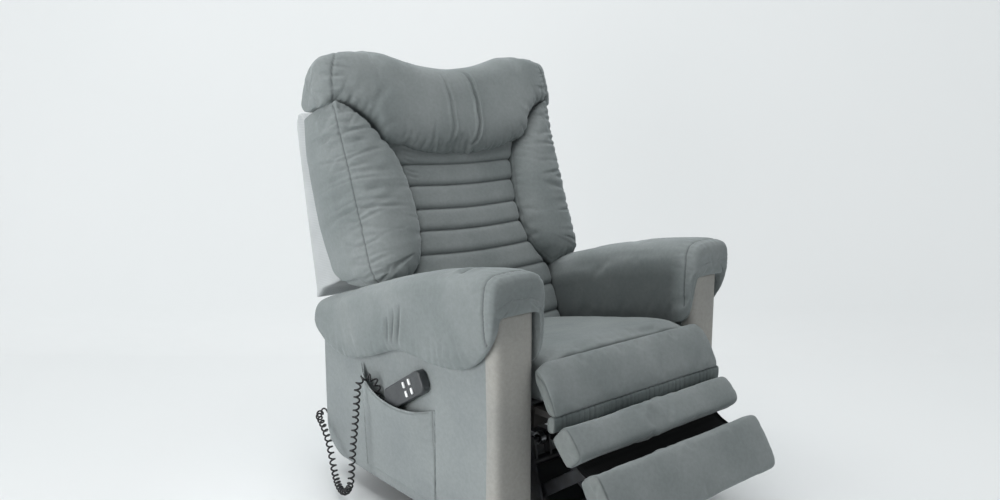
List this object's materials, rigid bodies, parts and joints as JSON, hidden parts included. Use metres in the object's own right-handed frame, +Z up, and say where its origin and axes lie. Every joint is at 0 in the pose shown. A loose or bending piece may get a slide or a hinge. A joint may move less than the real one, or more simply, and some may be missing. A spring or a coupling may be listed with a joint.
{
  "type": "lift recliner chair",
  "caption": "Powered lift recliner armchair with padded back, wings, channelled centre pad, folding footrest, lift linkage and corded handset in a side pocket.",
  "frame": {"origin": "on the floor under the middle of the chair's length and width at rest", "axes": "+X towards the sitter's left arm, +Y to the rear, +Z up"},
  "size_m": [0.843, 1.1258, 1.1444],
  "materials": {
    "velour": "grey-green cut-pile velour",
    "velour_warm": "grey velour, nap turned the other way",
    "back_cloth": "light woven back cloth",
    "dark_cloth": "black lining cloth",
    "black_steel": "black powder coat",
    "zinc_steel": "zinc plated",
    "spring_steel": "oiled spring steel",
    "timber": "planed plywood",
    "motor_plastic": "moulded black plastic",
    "handset_plastic": "charcoal moulded plastic",
    "button_plastic": "white moulded keys",
    "cord_rubber": "black flexible jacket",
    "foot_rubber": "black glides"
  },
  "bodies": {
    "base": {"base_frame": "black_steel", "base_brackets": "black_steel", "base_pins": "zinc_steel", "base_feet": "foot_rubber"},
    "rear_links": {"rear_links": "black_steel", "lift_torque_tube": "black_steel"},
    "front_links": {"front_links": "black_steel"},
    "lift_motor": {"lift_motor": "motor_plastic"},
    "lift_rod": {"lift_rod": "zinc_steel"},
    "chassis": {"carrier_frame": "black_steel", "carrier_pins": "zinc_steel", "seat_rails": "timber", "seat_springs": "spring_steel", "seat_cushion": "velour", "seat_front_panel": "velour", "seat_skirt": "velour", "arm_outer_panel_left": "velour", "arm_outer_panel_right": "velour", "arm_inner_panel_left": "velour", "arm_inner_panel_right": "velour", "arm_post_left": "velour_warm", "arm_post_right": "velour_warm", "arm_pad_left": "velour", "arm_pad_right": "velour", "arm_stretchers": "timber", "rear_cover": "back_cloth", "handset_pocket": "velour", "handset_shell": "handset_plastic", "handset_relief": "cord_rubber", "handset_cord": "cord_rubber", "control_box": "motor_plastic", "mains_inlet": "motor_plastic", "cord_gland": "motor_plastic"},
    "backrest": {"lumbar_pad": "velour", "bolster_left": "velour", "bolster_right": "velour", "headrest": "velour", "back_frame": "black_steel", "back_brackets": "black_steel", "back_drive_bar": "zinc_steel", "back_shell": "back_cloth"},
    "back_motor": {"back_motor": "motor_plastic"},
    "back_rod": {"back_rod": "zinc_steel"},
    "leg_a": {"leg_link_a": "black_steel", "leg_torque_tube": "black_steel"},
    "leg_b": {"leg_link_b": "black_steel"},
    "leg_c": {"leg_link_c": "black_steel"},
    "leg_d": {"leg_link_d": "black_steel"},
    "footrest": {"upper_leg_pad": "velour", "lower_leg_pad": "velour", "leg_boards": "timber", "leg_brackets": "black_steel", "leg_gap_cloth": "dark_cloth"},
    "leg_motor": {"leg_motor": "motor_plastic"},
    "leg_rod": {"leg_rod": "zinc_steel"},
    "button_1": {"handset_button_1": "button_plastic"},
    "button_2": {"handset_button_2": "button_plastic"},
    "button_3": {"handset_button_3": "button_plastic"},
    "button_4": {"handset_button_4": "button_plastic"}
  },
  "joints": [
    {"name": "lift", "type": "hinge", "parent": "base", "child": "rear_links", "pos_m": [0, -0.0471, 0.09], "axis": [1, 0, 0], "range_deg": [0, 45]},
    {"name": "lift_front", "type": "hinge", "parent": "base", "child": "front_links", "pos_m": [0, -0.1671, 0.055], "axis": [1, 0, 0], "range_deg": [0, 62.63]},
    {"name": "lift_carrier", "type": "hinge", "parent": "rear_links", "child": "chassis", "pos_m": [0, 0.3729, 0.14], "axis": [1, 0, 0], "range_deg": [-22.2, 0]},
    {"name": "lift_motor_pivot", "type": "hinge", "parent": "base", "child": "lift_motor", "pos_m": [0, 0.2929, 0.08], "axis": [1, 0, 0], "range_deg": [0, 2.04]},
    {"name": "lift_rod_slide", "type": "slide", "parent": "lift_motor", "child": "lift_rod", "axis": [0, -0.9816, 0.1907], "range_m": [0, 0.04057]},
    {"name": "recline", "type": "hinge", "parent": "chassis", "child": "backrest", "pos_m": [0, 0.3129, 0.44], "axis": [-1, 0, 0], "range_deg": [0, 35]},
    {"name": "back_motor_pivot", "type": "hinge", "parent": "chassis", "child": "back_motor", "pos_m": [0.135, -0.0071, 0.215], "axis": [-1, 0, 0], "range_deg": [0, 1.33]},
    {"name": "back_rod_slide", "type": "slide", "parent": "back_motor", "child": "back_rod", "axis": [0, 0.8885, 0.4588], "range_m": [-0.03502, 0]},
    {"name": "legrest", "type": "hinge", "parent": "chassis", "child": "leg_a", "pos_m": [0, -0.2127, 0.34], "axis": [-1, 0, 0], "range_deg": [-31.2, 37.3]},
    {"name": "leg_b_pivot", "type": "hinge", "parent": "chassis", "child": "leg_b", "pos_m": [0, -0.2402, 0.3048], "axis": [-1, 0, 0], "range_deg": [-30.5, 36.46]},
    {"name": "leg_c_pivot", "type": "hinge", "parent": "leg_a", "child": "leg_c", "pos_m": [0, -0.2788, 0.1463], "axis": [-1, 0, 0], "range_deg": [-33.25, 27.82]},
    {"name": "leg_d_pivot", "type": "hinge", "parent": "leg_a", "child": "leg_d", "pos_m": [0, -0.2071, 0.1], "axis": [-1, 0, 0], "range_deg": [-29.75, 24.88]},
    {"name": "footrest_tilt", "type": "hinge", "parent": "leg_c", "child": "footrest", "pos_m": [0, -0.4162, 0.2423], "axis": [-1, 0, 0], "range_deg": [-36.24, 43.33]},
    {"name": "leg_motor_pivot", "type": "hinge", "parent": "chassis", "child": "leg_motor", "pos_m": [-0.11, 0.1129, 0.24], "axis": [-1, 0, 0], "range_deg": [-1.58, 1.89]},
    {"name": "leg_rod_slide", "type": "slide", "parent": "leg_motor", "child": "leg_rod", "axis": [0, -0.9819, 0.1893], "range_m": [-0.0186, 0.02223]},
    {"name": "button_1_press", "type": "slide", "parent": "chassis", "child": "button_1", "axis": [1, 0, 0], "range_m": [0, 0.001], "stiffness_N_per_m": 800},
    {"name": "button_2_press", "type": "slide", "parent": "chassis", "child": "button_2", "axis": [1, 0, 0], "range_m": [0, 0.001], "stiffness_N_per_m": 800},
    {"name": "button_3_press", "type": "slide", "parent": "chassis", "child": "button_3", "axis": [1, 0, 0], "range_m": [0, 0.001], "stiffness_N_per_m": 800},
    {"name": "button_4_press", "type": "slide", "parent": "chassis", "child": "button_4", "axis": [1, 0, 0], "range_m": [0, 0.001], "stiffness_N_per_m": 800}
  ],
  "couplings": [
    {"joint": "lift_front", "follows": "lift", "ratio": 1.391},
    {"joint": "lift_carrier", "follows": "lift", "ratio": -0.493},
    {"joint": "lift_motor_pivot", "follows": "lift", "ratio": 0.0453},
    {"joint": "lift_rod_slide", "follows": "lift", "m_per_rad": 0.05163},
    {"joint": "back_motor_pivot", "follows": "recline", "ratio": 0.0378},
    {"joint": "back_rod_slide", "follows": "recline", "m_per_rad": -0.05729},
    {"joint": "leg_b_pivot", "follows": "legrest", "ratio": 0.977},
    {"joint": "leg_c_pivot", "follows": "legrest", "ratio": -0.891},
    {"joint": "leg_d_pivot", "follows": "legrest", "ratio": -0.797},
    {"joint": "footrest_tilt", "follows": "legrest", "ratio": 1.161},
    {"joint": "leg_motor_pivot", "follows": "legrest", "ratio": 0.0505},
    {"joint": "leg_rod_slide", "follows": "legrest", "m_per_rad": 0.03413}
  ]
}
